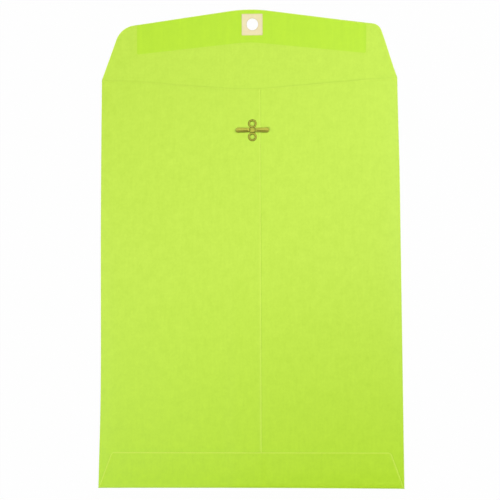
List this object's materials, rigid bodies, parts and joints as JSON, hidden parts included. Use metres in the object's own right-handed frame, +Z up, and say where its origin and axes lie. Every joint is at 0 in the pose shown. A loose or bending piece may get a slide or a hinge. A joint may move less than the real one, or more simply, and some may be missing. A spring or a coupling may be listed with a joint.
{
  "type": "clasp envelope",
  "caption": "Lime paper clasp envelope, open end, lying on its front with its gummed closure flap open and a metal prong clasp on its back.",
  "frame": {"origin": "middle of the front panel's outer face, on the surface that the envelope lies on", "axes": "+X across the width, +Y from the bottom fold towards the closure flap, +Z up out of the back, which holds the clasp"},
  "size_m": [0.227, 0.3605, 0.0026],
  "materials": {
    "lime_paper": "matte",
    "gum": "satin",
    "tan_patch": "matte",
    "dry_glue": "satin",
    "clasp_brass": "satin"
  },
  "bodies": {
    "envelope": {"front_panel": "lime_paper", "left_side_fold": "lime_paper", "right_side_fold": "lime_paper", "back_panel_left": "lime_paper", "back_panel_right": "lime_paper", "bottom_fold": "lime_paper", "bottom_flap": "lime_paper", "center_seam_glue": "dry_glue", "bottom_flap_glue": "dry_glue", "clasp_plate": "clasp_brass", "prong_bridge": "clasp_brass"},
    "flap": {"closure_flap": "lime_paper", "flap_gum": "gum", "hole_patch": "tan_patch"},
    "left_prong": {"prong_left": "clasp_brass"},
    "right_prong": {"prong_right": "clasp_brass"}
  },
  "joints": [
    {"name": "flap_fold", "type": "hinge", "parent": "envelope", "child": "flap", "pos_m": [0, 0.1532, 0.00105], "axis": [1, 0, 0], "range_deg": [0, 180]},
    {"name": "prong_left_bend", "type": "hinge", "parent": "envelope", "child": "left_prong", "pos_m": [0.0002, 0.113, 0.0024], "axis": [0, 1, 0], "range_deg": [0, 90]},
    {"name": "prong_right_bend", "type": "hinge", "parent": "envelope", "child": "right_prong", "pos_m": [0.0046, 0.113, 0.0024], "axis": [0, -1, 0], "range_deg": [0, 90]}
  ]
}
